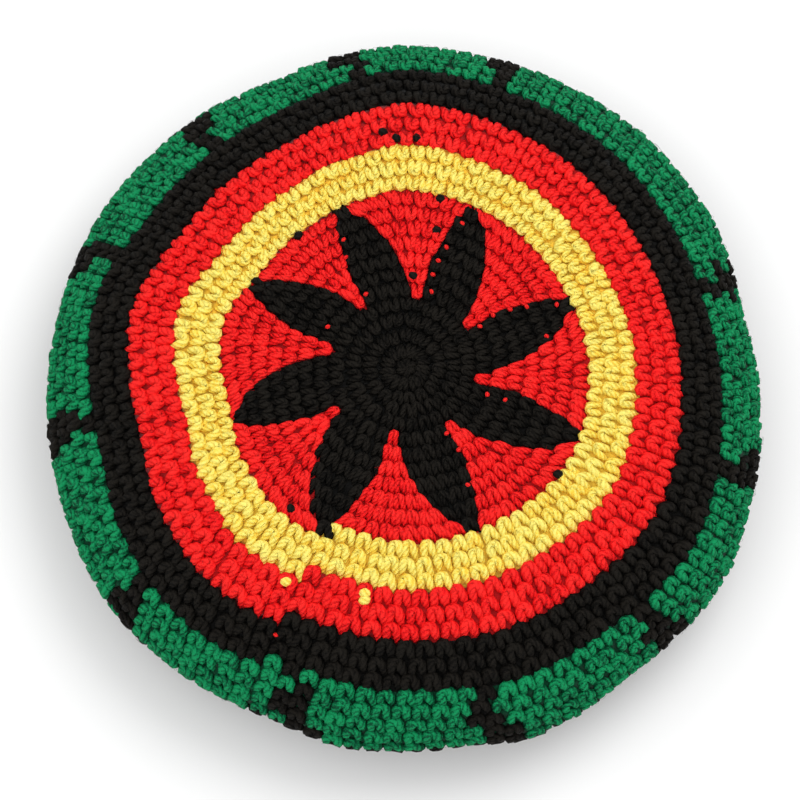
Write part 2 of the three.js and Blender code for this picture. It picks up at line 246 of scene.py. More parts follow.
# stitches are wider by a share of WARP at WARP_BEARING, and drift by DRIFT degrees a metre
WARP, WARP_BEARING = 0.10, 200.0
DRIFT = -40.0
FIRST_ROUND = 5 * MM
NARROWEST = 0.7


def round_table():
    """One row for each round: area, inner edge, height of the round, stitches, number in area."""
    pitch = (STAR_RADIUS - FIRST_ROUND) / (len(STAR_ROUNDS) - 1)
    rows = [("star", FIRST_ROUND + pitch * (i - 1), pitch, n, i) for i, n in enumerate(STAR_ROUNDS)]
    rows[0] = ("star", 0.0, FIRST_ROUND, STAR_ROUNDS[0], 0)
    for name, inner, outer, counts in BANDS:
        height = (outer - inner) / len(counts)
        rows += [(name, inner + height * i, height, n, i) for i, n in enumerate(counts)]
    return rows


ROUNDS = round_table()
print("rounds:", len(ROUNDS), "stitches:", sum(r[3] for r in ROUNDS))


def petal_edges(along):
    """Bearings where the petals start and end in the round at a distance along the cloth."""
    edge = edge_at(STAR_RADIUS, PETAL_TIPS)
    out = along + (edge - STAR_RADIUS)
    reach = np.clip((out - CENTRE_RADIUS) / (edge - CENTRE_RADIUS), 0, 1)
    start = PETAL_TIPS - np.interp(reach, PETAL_REACH, PETAL_BEFORE) * TO_LAST
    end = PETAL_TIPS + np.interp(reach, PETAL_REACH, PETAL_AFTER) * TO_NEXT
    return start, end


def star_round(along, height, width):
    """Bearing, width in degrees, lean in degrees for each metre and name of the stitches of a
    round of the star. Petals and red wedges take turns, as many whole stitches as fit in each."""
    low, middle, high = [np.ravel(petal_edges(along + height * share), order="F")
                         for share in (0, 0.5, 1)]
    edges = np.append(middle, middle[0] + TURN)
    drifts = (high - low)[np.arange(len(edges)) % len(middle)] / height
    names = []
    rows = []
    for i in range(len(middle)):
        first, last = edges[i:i + 2]
        count = max(int(round((last - first) / width)), 1)
        share = (np.arange(count) + 0.5) / count
        size = max((last - first) / count, NARROWEST * width)
        drift = drifts[i] + (drifts[i + 1] - drifts[i]) * share
        rows.append(np.stack([first + (last - first) * share, np.full(count, size), drift]))
        names += [f"red_wedge_{i // 2 + 1}" if i % 2 else "black_star"] * count
    return (*np.hstack(rows), np.array(names))


def rim_pieces(bearing, number, width):
    """Names of the pieces of a round of the rim: green blocks, parted by one or two black
    stitches in line with the nearest gap."""
    middle = GAPS + GAP_LEAN * number
    off = np.mod(bearing[:, None] - middle[None, :] + TURN / 2, TURN) - TURN / 2
    nearest = np.abs(off).min(axis=1)
    count = GAP_STITCHES[number]
    order = np.argsort(np.where(off >= 0, off, np.inf), axis=1)[:, 0]
    return np.where(nearest < count * width / 2, "black_band", BLOCKS[order])

# %% [markdown]
# ## One stitch
# Seen from the right side, a single crochet is a bent loop of yarn. Its closed end, the head,
# lies over the round before it. Its two legs part and dive under the heads of the next round,
# and the small dark hole between them is where the hook goes in. It could be modelled as one
# mesh and copied, but then every stitch would be the same size. Here a table of points is
# stretched to each stitch's own width and height.

# %% The path of the yarn through a stitch
# across as a share of the stitch's width, outward as a share of its height, and height in mm
HALF_STITCH = [
    (0.36, 0.90, -3.0), (0.345, 0.66, -2.4), (0.315, 0.42, -1.45), (0.275, 0.20, -0.45),
    (0.245, -0.04, 0.0), (0.175, -0.25, -0.1), (0.0, -0.34, -0.4),
]
STITCH_POINTS = np.array([(-x, y, z) for x, y, z in HALF_STITCH] + HALF_STITCH[-2::-1])
# a common stitch in mm, in which the path is measured
STITCH_SIZE = (6.0, 6.5, 1.0)
PATH_STEPS = 24
HEAD_REACH = 0.34
HEAD_SPACING = 0.65
HEAD_SHARE, LEG_SHARE = 1.08, 0.72
FULL_UNTIL = 0.35
RIM_SINK = 1.7 * MM
WOBBLE, SWELL = 0.11 * MM, 0.035
# the hidden black rounds below the rim get simpler tubes
SIDES, POINTS = 6, 13
PLAIN_SIDES, PLAIN_POINTS = 5, 10


def spread(points):
    """Places of the points along the yarn of a stitch, from -1 to 1. The cubic sets them closer
    together at the head, which bends and shows, and further apart at the hidden legs."""
    t = np.linspace(-1, 1, points)
    return t * (HEAD_SPACING + (1 - HEAD_SPACING) * t * t)


def points_on(line, places):
    """Points on a line at places from -1 to 1 along its length."""
    along = lengths(line)
    spots = along[-1] * (places + 1) / 2
    return np.column_stack([np.interp(spots, along, line[:, axis]) for axis in range(3)])


def sink_at(along):
    """How deep the stitches lie in the cloth: not at all on the crown, where the fabric lies
    loose, and RIM_SINK from the rim on, where it is stretched over the bend."""
    return RIM_SINK * ease(along, RED_ALONG, GREEN_ALONG - ROUND_HEIGHT)


def stitch_paths(s, points):
    """The smooth line through STITCH_POINTS, times the width and height of each stitch of s. The
    lean moves a point across by a share of how far out it lies."""
    smooth = catmull_rom(STITCH_POINTS * STITCH_SIZE, PATH_STEPS)
    unit = points_on(smooth, spread(points)) / STITCH_SIZE
    y = unit[:, 1] * s["height"][:, None]
    x = unit[:, 0] * s["width"][:, None] + s["lean"][:, None] * y
    z = unit[:, 2] * MM + s["lift"][:, None]
    return np.stack([x, y, z], axis=-1)


def thickness(points):
    """The loop is full at its head and drawn tight at its legs: HEAD_SHARE in the middle of the
    path, eased to LEG_SHARE at both ends."""
    t = np.abs(spread(points))
    return HEAD_SHARE + (LEG_SHARE - HEAD_SHARE) * ease(t, FULL_UNTIL, 1.0)


def wobble(count, points, waves, size, seed):
    """Slow random drift along each path: a sum of a few cosine waves of random height."""
    t = np.linspace(0, 1, points)
    shape = np.cos(np.pi * np.arange(1, waves + 1)[:, None] * t[None, :])
    heights = np.random.default_rng(seed).normal(0, size, (count, waves, 3))
    return np.einsum("cwk,wp->cpk", heights, shape)


print("points along a stitch:", POINTS, "thickness:", thickness(POINTS).round(2))

# %% [markdown]
# ## Tubes of yarn
# The yarn is a round strand that keeps its thickness round the bends. A curve with a bevel would
# do for one stitch, but thousands of curves are slow and can't be given a number for each corner.
# So the corners of all tubes are worked out together, as arrays: stitch, point, way round.

# %% Tubes
PLY_LENGTH = 9 * MM


def tubes(paths, radius, sides):
    """Rings of sides points round every path: a circle in the plane of two normals, the first
    level with the cloth and the second square to it and to the path."""
    run = np.gradient(paths, axis=1)
    run /= np.linalg.norm(run, axis=-1, keepdims=True)
    level = np.cross(run, (0.0, 0.0, 1.0))
    level /= np.linalg.norm(level, axis=-1, keepdims=True)
    up = np.cross(level, run)
    angle = np.arange(sides) * 2 * np.pi / sides
    ring = (np.cos(angle)[:, None] * level[:, :, None, :]
            + np.sin(angle)[:, None] * up[:, :, None, :])
    return paths[:, :, None, :] + radius[:, :, None, None] * ring


def tube_faces(count, rings, sides):
    """Corner numbers of the quads along each tube and the two flat ends, as triangles."""
    ring, side = np.divmod(np.arange((rings - 1) * sides), sides)
    after = (side + 1) % sides
    quads = np.stack([ring * sides + after, ring * sides + side,
                      (ring + 1) * sides + side, (ring + 1) * sides + after], -1)
    fan = np.arange(1, sides - 1)
    start = np.stack([np.zeros_like(fan), fan, fan + 1], -1)
    end = np.stack([np.zeros_like(fan), fan + 1, fan], -1) + (rings - 1) * sides
    tris = np.vstack([start, end])
    step = (np.arange(count) * rings * sides)[:, None, None]
    return (quads[None] + step).reshape(-1, 4), (tris[None] + step).reshape(-1, 3)


def tube_uv(paths, sides):
    """For each corner of the quads: yarn length in lengths of twist, and the way round."""
    count, rings = paths.shape[:2]
    u = lengths(paths) / PLY_LENGTH + np.random.default_rng(3).random((count, 1))
    ring, side = np.divmod(np.arange((rings - 1) * sides), sides)
    low, high = u[:, ring], u[:, ring + 1]
    v0 = np.broadcast_to(side / sides, low.shape)
    v1 = np.broadcast_to((side + 1) / sides, low.shape)
    return np.stack([low, v1, low, v0, high, v0, high, v1], axis=-1).reshape(-1, 2)


print("faces of a stitch:", [len(faces) for faces in tube_faces(1, POINTS, SIDES)])

# %% [markdown]
# ## Placing the stitches
# Each round is worked out as arrays with one number for each stitch: its bearing, how far along
# the cloth it lies, its width and its height. Small seeded differences in size, lean and tone
# stand for the maker's hand. The stitches at the foot of the photo are wider than those at its
# head, so the bearings are warped by a few degrees.

# %% Stitch places
YARN_SHARE = 0.255
YARN_RADIUS = (1.3 * MM, 2.0 * MM)
# how much stitches differ: shares of their size, a share of their height across for the lean,
# and mm for the lift
HAND = {"bearing": 0.05, "along": 0.035, "width": 0.035, "height": 0.04, "lean": 0.07,
        "lift": 0.16, "radius": 0.04}


def place_round(row, seed):
    """Bearing, distance along, width, height and piece name of every stitch of one round."""
    area, inner, height, count, number = row
    rng = np.random.default_rng(seed)
    if area == "star" and number >= BLACK_ROUNDS_IN_CENTRE:
        bearing, degrees, drift, names = star_round(inner, height, TURN / count)
        count = len(names)
        climb = np.mod(JOG_START - bearing, TURN) / TURN
    else:
        climb = (np.arange(count) + 0.5) / count
        even = JOG_START - TURN * climb
        bearing = even + np.degrees(WARP) * np.sin(np.radians(even - WARP_BEARING))
        degrees = TURN / count * (1 + WARP * np.cos(np.radians(even - WARP_BEARING)))
        drift = np.full(count, DRIFT)
        names = np.full(count, "black_star" if area == "star" else area)
    climbing = ease(inner, 0, CENTRE_RADIUS) * (area != "headband")
    along = inner + height * HEAD_REACH + ROUND_HEIGHT * (climb - 0.5) * climbing
    radius = np.interp(along, LINE_ALONG, LINE[:, 0])
    width = np.radians(degrees) * radius
    if area == "green":
        names = rim_pieces(np.mod(bearing, TURN), number, degrees)
    thick = np.clip(YARN_SHARE * width, *YARN_RADIUS)
    hand = {key: rng.normal(0, size, count) for key, size in HAND.items()}
    return {
        "bearing": bearing + hand["bearing"] * degrees,
        "along": along + hand["along"] * height,
        "width": width * (1 + hand["width"]),
        "height": height * (1 + hand["height"]),
        "lean": np.radians(drift) * radius + hand["lean"],
        "lift": hand["lift"] * MM,
        "radius": thick * (1 + hand["radius"]),
        "tone": rng.random(count),
        "name": names.astype("U20"),
        "plain": np.full(count, area in ("underside", "headband")),
        "last": np.full(count, area == "headband" and number == len(BANDS[-1][3]) - 1),
    }


placed = [place_round(row, 100 + i) for i, row in enumerate(ROUNDS)]
stitches = {key: np.concatenate([p[key] for p in placed]) for key in placed[0]}
names, counts = np.unique(stitches["name"], return_counts=True)
print("stitches placed:", len(stitches["name"]), dict(zip(names.tolist(), counts.tolist())))

# %% [markdown]
# A stitch is made flat and then laid on the cap: what is outward in it follows the cloth, what is
# across runs level, and its height leaves the cloth. A modifier could bend flat stitches too, but
# the surface is a formula already, so the corners go straight through it. At the rim the
# stretched cloth draws the loops in.

# %% Laying the stitches on the cloth
# the least height of any yarn above the table
FLOOR_GAP = 0.2 * MM
# the depth number, which paints shade into the holes and light on the loops that stand up,
# is FACE_TONE on the cloth's face and rises by 1 over DEPTH_SPAN
FACE_TONE, DEPTH_SPAN = 0.65, 3.2 * MM
# the last round ends at the hem: its legs reach less far and less deep
HEM_REACH, HEM_DEPTH = 0.38, 1.6 * MM


def lay(corners, bearing, along, paths, tone):
    """Mesh arrays of tubes, each laid on the cloth at its bearing and distance along. The flat
    ends of the tubes have no place on the UV map."""
    bearing, along = bearing[:, None, None], along[:, None, None]
    points = cloth(bearing, along + corners[..., 1], corners[..., 2] - sink_at(along))
    angle = np.radians(bearing)
    points[..., 0] += corners[..., 0] * np.cos(angle)
    points[..., 1] -= corners[..., 0] * np.sin(angle)
    points[..., 2] = np.maximum(points[..., 2], FLOOR_GAP)
    quads, tris = tube_faces(*corners.shape[:3])
    # painted light and shade: corners deep in the fabric get a low number and are drawn darker, those
    # that stand up are drawn lighter
    depth = np.clip(corners[..., 2] / DEPTH_SPAN + FACE_TONE, 0, 1)
    return {"points": points.reshape(-1, 3), "quads": quads, "tris": tris,
            "quad_uv": tube_uv(paths, corners.shape[2]), "tri_uv": np.zeros((tris.size, 2)),
            "depth": depth.ravel(),
            "tone": np.broadcast_to(tone[:, None, None], depth.shape).ravel()}


def stitch_mesh(s, sides, points):
    """Mesh arrays of the stitches of s, each a little uneven in its path and its thickness."""
    paths = stitch_paths(s, points)
    paths += wobble(*paths.shape[:2], waves=5, size=WOBBLE, seed=7)
    hem = s["last"]
    reach = HEM_REACH * s["height"][hem, None]
    paths[hem, :, 1] = np.minimum(paths[hem, :, 1], reach)
    paths[hem, :, 2] = np.maximum(paths[hem, :, 2], -HEM_DEPTH)
    swell = 1 + wobble(*paths.shape[:2], waves=8, size=SWELL, seed=8)[..., 0]
    swell *= thickness(paths.shape[1])
    corners = tubes(paths, s["radius"][:, None] * swell, sides)
    return lay(corners, s["bearing"], s["along"], paths, s["tone"])


one = {key: values[:1] for key, values in stitches.items()}
print("corners of a stitch:", len(stitch_mesh(one, SIDES, POINTS)["points"]))

# %% [markdown]
# ## Fuzz
# A few fibres of the yarn always work loose and stand off as a soft haze. Blender's hair could
# grow them, but as thin curved tubes they stay with the mesh. Each one leaves the upper side of
# a loop, arches over and comes back down.

# %% Loose fibres
FIBRES_PER_STITCH = 4
FIBRE_RADIUS = 0.045 * MM
FIBRE_LENGTH = (1.6 * MM, 4.0 * MM)
FIBRE_RISE = (0.15 * MM, 0.8 * MM)
FIBRE_ROOT = 0.1 * MM
FIBRE_WOBBLE = 0.12 * MM
FIBRE_POINTS, FIBRE_SIDES = 4, 3


def fibre_mesh(s, points, seed):
    """Thin tubes that start on the loops: straight runs in a random direction with a parabola
    added upwards, 1 - t^2 high for t from -1 to 1."""
    rng = np.random.default_rng(seed)
    count = len(s["tone"]) * FIBRES_PER_STITCH
    paths = stitch_paths(s, points)
    stitch = np.repeat(np.arange(len(s["tone"])), FIBRES_PER_STITCH)
    spot = rng.integers(paths.shape[1] // 4, paths.shape[1] * 3 // 4 + 1, count)
    side = rng.uniform(-1.0, 1.0, count)
    start = paths[stitch, spot]
    start[:, 0] += np.sin(side) * s["radius"][stitch]
    start[:, 2] += np.cos(side) * s["radius"][stitch] - FIBRE_ROOT
    t = np.linspace(-1, 1, FIBRE_POINTS)
    turn = rng.uniform(0, 2 * np.pi, count)
    reach = rng.uniform(*FIBRE_LENGTH, count)[:, None] * t[None, :] / 2
    rise = rng.uniform(*FIBRE_RISE, count)[:, None] * (1 - t**2)[None, :]
    line = np.stack([reach * np.cos(turn)[:, None], reach * np.sin(turn)[:, None], rise], axis=-1)
    line += start[:, None, :] + wobble(count, FIBRE_POINTS, 2, FIBRE_WOBBLE, seed)
    corners = tubes(line, np.full((count, FIBRE_POINTS), FIBRE_RADIUS), FIBRE_SIDES)
    return lay(corners, s["bearing"][stitch], s["along"][stitch], line, s["tone"][stitch])


print("loose fibres:", FIBRES_PER_STITCH * int((~stitches["plain"]).sum()))

# %% [markdown]
# ## Yarn that shows through
# The maker carries the red yarn inside the black stitches of a petal until the next wedge needs
# it. It peeps out between two stitches as a red dot, and here and there the black or the yellow
# yarn does so in the red. The dots could be scattered at random, but they are few and the photo
# shows each of them, so they are charted one by one: bearing, and mm from the middle of the crown.
# Each one is a short piece of yarn, sunk until only its crest shows.

# %% Dots of the carried yarn
RED_DOTS = np.array([
    (334.8, 59.8), (332.2, 52.5), (332.0, 34.3), (20.8, 64.0), (18.0, 52.3), (16.2, 46.0),
    (15.5, 39.8), (17.8, 32.8), (298.2, 35.5), (60.0, 48.0), (62.5, 54.5), (66.8, 65.8),
    (58.0, 40.8), (60.0, 33.8), (77.2, 57.0), (109.2, 33.8), (109.0, 41.0), (149.5, 31.3),
    (148.5, 39.3), (153.2, 53.0), (205.2, 120.3),
])
BLACK_DOTS = np.array([
    (12.2, 58.0), (11.2, 71.0), (322.0, 73.0), (218.0, 71.8), (126.0, 70.8), (4.0, 38.0),
    (355.0, 99.0), (358.0, 95.0), (3.0, 95.0),
])
YELLOW_DOTS = np.array([(208.2, 98.0), (189.5, 94.8), (189.7, 92.2)])
# length, radius, and height of the middle above the cloth's face
RED_DOT = (2.2 * MM, 0.9 * MM, 1.15 * MM)
BLACK_DOT = (3.8 * MM, 1.9 * MM, 0.6 * MM)
YELLOW_DOT = (4.8 * MM, 2.2 * MM, 1.1 * MM)
DOT_POINTS = 7


def dot_mesh(dots, length, radius, height, seed):
    """A short bead of yarn at each place of a list of dots: a tube whose radius falls to a
    fifth at both ends as the square root of 1 - t^2, like a ball's."""
    count = len(dots)
    t = np.linspace(-1, 1, DOT_POINTS)
    turn = np.random.default_rng(seed).uniform(-0.8, 0.8, count)[:, None]
    reach = t[None, :] * length / 2
    paths = np.stack([reach * np.cos(turn), reach * np.sin(turn),
                      np.broadcast_to(height - 0.2 * radius * t**2, (count, DOT_POINTS))], axis=-1)
    shape = radius * np.sqrt(np.maximum(1 - t**2, 0.04))
    corners = tubes(paths, np.broadcast_to(shape, (count, DOT_POINTS)), SIDES)
    return lay(corners, dots[:, 0], dots[:, 1] * MM, paths, np.full(count, 0.5))


print("dots of carried yarn:", len(RED_DOTS), "red,", len(BLACK_DOTS), "black,",
      len(YELLOW_DOTS), "yellow")

# %% [markdown]
# ## The cloth behind the stitches
# Loops of yarn alone would leave holes that the real fabric hides, because the backs of the
# stitches fill them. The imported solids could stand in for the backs, but the stitches would sink
# into them. So a thinner wall runs behind each area, and its inner face is what shows in the head
# opening. A wall is a grid on the cloth, made twice at two depths and closed round its edges.

# %% Wall builder
FACE_DEPTH = 1.2 * MM
WALL_SINK = 0.6
MAP_LENGTH = 2 * HEM_ALONG


def wall(bearing, along, ring, face_depth=FACE_DEPTH, back_depth=WALL):
    """A closed wall on a grid of columns and rows, between two depths in the cloth. The last
    column of a ring meets the first. Where the stitches sink, the face goes down with them."""
    columns, rows = along.shape
    bearing = np.broadcast_to(bearing, along.shape)
    sunk = face_depth + WALL_SINK * sink_at(along)
    points = np.concatenate([cloth(bearing, along, -sunk).reshape(-1, 3),
                             cloth(bearing, along, -back_depth).reshape(-1, 3)])
    back = columns * rows
    strips = columns if ring else columns - 1
    i, row = np.divmod(np.arange(strips * (rows - 1)), rows - 1)
    j = (i + 1) % columns

    def corner(column, line):
        """The number of a corner of the grid's front."""
        return column * rows + line

    face = np.stack([corner(i, row), corner(j, row), corner(j, row + 1), corner(i, row + 1)], -1)
    quads = [face, face[:, ::-1] + back]
    i = np.arange(strips)
    j = (i + 1) % columns
    edges = [(corner(j, 0), corner(i, 0)), (corner(i, rows - 1), corner(j, rows - 1))]
    if not ring:
        row = np.arange(rows - 1)
        edges += [(corner(0, row), corner(0, row + 1)),
                  (corner(columns - 1, row + 1), corner(columns - 1, row))]
    quads += [np.stack([a, b, b + back, a + back], -1) for a, b in edges]
    quads = np.vstack(quads)
    flat = np.stack([bearing.ravel() / TURN, along.ravel() / MAP_LENGTH], -1)
    uv = np.vstack([flat, flat])[quads]
    # a face that closes a ring goes on past 1 on the map
    turns = np.ptp(uv[..., 0], axis=1) > 0.5
    uv[..., 0] = np.where(turns[:, None] & (uv[..., 0] < 0.5), uv[..., 0] + 1, uv[..., 0])
    return {"points": points, "quads": quads, "tris": np.zeros((0, 3), int),
            "quad_uv": uv.reshape(-1, 2), "tri_uv": np.zeros((0, 2)),
            "depth": np.zeros(len(points)), "tone": np.full(len(points), 0.5)}


def span(start, end, rows):
    """Rows evenly spread from one edge to another, for every column."""
    return start[:, None] + (end - start)[:, None] * np.linspace(0, 1, rows)[None, :]


print("depths of a wall in the cloth:", FACE_DEPTH, "to", WALL, "m")

# %% [markdown]
# The walls meet where the colours do. The star's outline runs from petal to petal through the
# chart's table, and the rings and blocks follow the spiral. A red wedge fills the room between
# two petals and runs on a little under the star, a step deeper, so that no light shows through
# between them.

# %% Walls
UNDER_STAR = 0.7 * MM
WEDGE_STEP = 0.2 * MM
WEDGE_COLUMNS, WEDGE_ROWS = 13, 12
STAR_ROWS, RING_ROWS, BLOCK_ROWS, UNDERSIDE_ROWS = 14, 7, 9, 20
STAR_HOLE = 0.5 * MM
COLUMN_STEP = 2.5
GAP_HALF, BLOCK_GAP = 1.4, 0.03
EVEN = np.arange(0, TURN, COLUMN_STEP)


def star_wall():
    """The black centre and the petals: one ring of columns from near the middle to an outline
    that goes up one side of each petal and down the other."""
    rows = PETAL_REACH[:-1]
    before = PETAL_TIPS[:, None] - PETAL_BEFORE[:-1] * TO_LAST[:, None]
    after = PETAL_TIPS[:, None] + (PETAL_AFTER[:-1] * TO_NEXT[:, None])[:, ::-1]
    bearing = np.hstack([before, PETAL_TIPS[:, None], after]).ravel()
    reach = np.tile(np.concatenate([rows, [1.0], rows[::-1]]), len(PETAL_TIPS))
    out = CENTRE_RADIUS + reach * (STAR_RADIUS - CENTRE_RADIUS)
    out = np.where(reach == 1, edge_at(STAR_RADIUS, bearing), out)
    return wall(bearing[:, None], span(np.full_like(out, STAR_HOLE), out, STAR_ROWS), True)


def wedge_wall(k):
    """The red ground after petal k: columns evenly spread from that petal to the next, widened
    on both sides by UNDER_STAR as an angle. The last rows ease out to the spiral edge."""
    tip, to_next = PETAL_TIPS[k], TO_NEXT[k]
    across = np.linspace(0, 1, WEDGE_COLUMNS)[:, None]
    reach = np.linspace(0, 1, WEDGE_ROWS)[None, :]
    out = CENTRE_RADIUS + SEAM_GAP + reach * (STAR_RADIUS - CENTRE_RADIUS - SEAM_GAP)
    under = np.degrees(UNDER_STAR / out)
    start = tip + np.interp(reach, PETAL_REACH, PETAL_AFTER) * to_next - under
    end = tip + (1 - np.interp(reach, PETAL_REACH, PETAL_BEFORE)) * to_next + under
    bearing = start + (end - start) * across
    edge = edge_at(STAR_RADIUS, bearing[:, -1:]) - STAR_RADIUS
    along = out + edge * ease(reach, PETAL_REACH[-2], 1.0)
    return wall(bearing, along, False, FACE_DEPTH + WEDGE_STEP, WALL - WEDGE_STEP)


def ring_wall(inner, outer, rows=RING_ROWS, spiral_in=True, spiral_out=True):
    """A ring between two distances over the cloth. Its edges follow the spiral or run level."""
    start = edge_at(inner, EVEN) if spiral_in else np.full_like(EVEN, inner)
    end = edge_at(outer, EVEN) if spiral_out else np.full_like(EVEN, outer)
    return wall(EVEN[:, None], span(start + SEAM_GAP, end, rows), True)


def block_wall(first, last):
    """A stretch of the green ring between two bearings."""
    end = last if last > first else last + TURN
    bearing = np.linspace(first, end, max(int((end - first) / COLUMN_STEP), 2) + 1)
    start = edge_at(BLACK_ALONG, bearing) + SEAM_GAP
    return wall(bearing[:, None], span(start, edge_at(GREEN_ALONG, bearing), BLOCK_ROWS), False)


walls = {
    "black_star": [star_wall()],
    "yellow_band": [ring_wall(STAR_RADIUS, YELLOW_ALONG)],
    "red_band": [ring_wall(YELLOW_ALONG, RED_ALONG)],
    "black_band": [ring_wall(RED_ALONG, BLACK_ALONG)],
    "underside": [ring_wall(GREEN_ALONG, HEADBAND_ALONG, UNDERSIDE_ROWS, True, False)],
    "headband": [ring_wall(HEADBAND_ALONG, HEM_ALONG, RING_ROWS, False, False)],
}
for k in range(len(PETAL_TIPS)):
    walls[f"red_wedge_{k + 1}"] = [wedge_wall(k)]
for k, gap in enumerate(GAPS):
    start = gap + GAP_HALF + BLOCK_GAP
    end = GAPS[(k + 1) % len(GAPS)] - GAP_HALF - BLOCK_GAP
    walls[str(BLOCKS[k])] = [block_wall(start, end)]
    walls["black_band"].append(block_wall(gap - GAP_HALF, gap + GAP_HALF))
print("walls:", {name: sum(len(w["quads"]) for w in parts) for name, parts in walls.items()})

# %% [markdown]
# ## From arrays to meshes
# `foreach_set` hands whole arrays to Blender, which is many times quicker than a loop. Tubes and
# walls of one piece become one mesh, with a UV map for the twist of the yarn and two numbers on
# each corner: how deep it lies in the fabric, which paints shade into the holes and light on the
# loops that stand up, and the tone of its stitch.

# %% Mesh builder
def add(name, data):
    """A new object in the scene."""
    made = bpy.data.objects.new(name, data)
    bpy.context.scene.collection.objects.link(made)
    return made


def build(name, parts, materials, wall_parts):
    """One mesh object from parts. Faces of the last wall_parts parts take the second material."""
    offsets = np.cumsum([0] + [len(part["points"]) for part in parts[:-1]])
    points = np.vstack([part["points"] for part in parts])
    quads = np.vstack([part["quads"] + offset for part, offset in zip(parts, offsets)])
    tris = np.vstack([part["tris"] + offset for part, offset in zip(parts, offsets)])
    corner_uv = np.vstack([part[key] for key in ("quad_uv", "tri_uv") for part in parts])
    slots = np.concatenate([np.full(len(part[key]), int(i >= len(parts) - wall_parts))
                            for key in ("quads", "tris") for i, part in enumerate(parts)])
    corners = np.concatenate([quads.ravel(), tris.ravel()])
    starts = np.concatenate([np.arange(len(quads)) * 4, len(quads) * 4 + np.arange(len(tris)) * 3])
    mesh = bpy.data.meshes.new(name)
    mesh.vertices.add(len(points))
    mesh.vertices.foreach_set("co", points.astype(np.float32).ravel())
    mesh.loops.add(len(corners))
    mesh.loops.foreach_set("vertex_index", corners.astype(np.int32))
    mesh.polygons.add(len(starts))
    mesh.polygons.foreach_set("loop_start", starts.astype(np.int32))
    mesh.polygons.foreach_set("material_index", slots.astype(np.int32))
    mesh.polygons.foreach_set("use_smooth", np.ones(len(starts), bool))
    uv = mesh.uv_layers.new(name="yarn")
    uv.data.foreach_set("uv", corner_uv.astype(np.float32).ravel())
    for key in ("depth", "tone"):
        layer = mesh.attributes.new(key, "FLOAT", "POINT")
        values = np.concatenate([part[key] for part in parts])
        layer.data.foreach_set("value", values.astype(np.float32))
    mesh.update(calc_edges=True)
    mesh.validate()
    for material in materials:
        mesh.materials.append(material)
    return add(name, mesh)


def triangles_in(parts):
    """Triangles of a list of parts: two for each quad."""
    return sum(2 * len(part["quads"]) + len(part["tris"]) for part in parts)


print("triangles of the star's wall:", triangles_in(walls["black_star"]))

# %% [markdown]
# ## Yarn
# Acrylic yarn is three or four plies twisted together. Each ply is a bundle of fine fibres, soft
# and slightly shiny, and a few of them stand off as fuzz. The twist could be modelled, at ten
# times the faces, but at this scale it reads as slanting stripes of light and shade, so it is
# drawn on the UV map, whose first direction is the yarn's length and whose second runs round it.

# %% Shader helpers
BUMP_HEIGHT = 0.8 * MM


def node(tree, kind, inputs=(), **settings):
    """A node with its settings made and its inputs, by name or number, set or linked."""
    made = tree.nodes.new(kind)
    for key, value in settings.items():
        setattr(made, key, value)
    for key, value in dict(inputs).items():
        if isinstance(value, (int, float, tuple)):
            made.inputs[key].default_value = value
        else:
            tree.links.new(value, made.inputs[key])
    return made


def math(tree, operation, *values):
    """One step of arithmetic on numbers and other nodes' values."""
    return node(tree, "ShaderNodeMath", dict(enumerate(values)), operation=operation).outputs[0]


def weigh(tree, start, terms):
    """A number plus each value times its weight."""
    total = start
    for value, weight in terms:
        total = math(tree, "MULTIPLY_ADD", value, weight, total)
    return total


def blend(tree, value, low, high, first, last):
    """The first colour where a value is low, the last where it is high, mixed evenly between."""
    share = node(tree, "ShaderNodeMapRange", {"Value": value, "From Min": low, "From Max": high})
    inputs = {0: share.outputs[0], 6: first, 7: last}
    return node(tree, "ShaderNodeMix", inputs, data_type="RGBA").outputs[2]


def noise(tree, scale, detail):
    """Noise in the piece's own metres, from 0 to 1."""
    place = node(tree, "ShaderNodeTexCoord").outputs["Object"]
    settings = {"Vector": place, "Scale": scale, "Detail": detail}
    return node(tree, "ShaderNodeTexNoise", settings).outputs[0]


def yarn_uv(tree):
    """The two numbers of the yarn's UV map."""
    uv = node(tree, "ShaderNodeUVMap", uv_map="yarn").outputs[0]
    return node(tree, "ShaderNodeSeparateXYZ", {0: uv}).outputs[:2]


def new_group(name, colours, outputs):
    """A shader group with colours for inputs and outputs of the kinds given, and its inputs."""
    group = bpy.data.node_groups.new(name, "ShaderNodeTree")
    for key in colours:
        group.interface.new_socket(name=key, in_out="INPUT", socket_type="NodeSocketColor")
    for key, kind in outputs.items():
        group.interface.new_socket(name=key, in_out="OUTPUT", socket_type=f"NodeSocket{kind}")
    return group, node(group, "NodeGroupInput").outputs


def new_material(name, values):
    """A material, its tree and its shader, on which what is the same all over is set."""
    material = bpy.data.materials.new(name)
    material.use_nodes = True
    shader = material.node_tree.nodes["Principled BSDF"]
    for key, value in values.items():
        shader.inputs[key].default_value = value
    return material, material.node_tree, shader


def group_material(name, group, colours, bump, values):
    """A material of one shared group: colours go into it, and its height becomes a bump."""
    material, tree, shader = new_material(name, values)
    colours = {key: (*colour, 1) for key, colour in colours.items()}
    worked = node(tree, "ShaderNodeGroup", colours, node_tree=group).outputs
    relief = {"Strength": bump, "Distance": BUMP_HEIGHT, "Height": worked["Height"]}
    tree.links.new(node(tree, "ShaderNodeBump", relief).outputs[0], shader.inputs["Normal"])
    tree.links.new(worked["Colour"], shader.inputs["Base Color"])
    if "Roughness" in worked:
        tree.links.new(worked["Roughness"], shader.inputs["Roughness"])
    return material


print("height of the bumps:", BUMP_HEIGHT, "m")
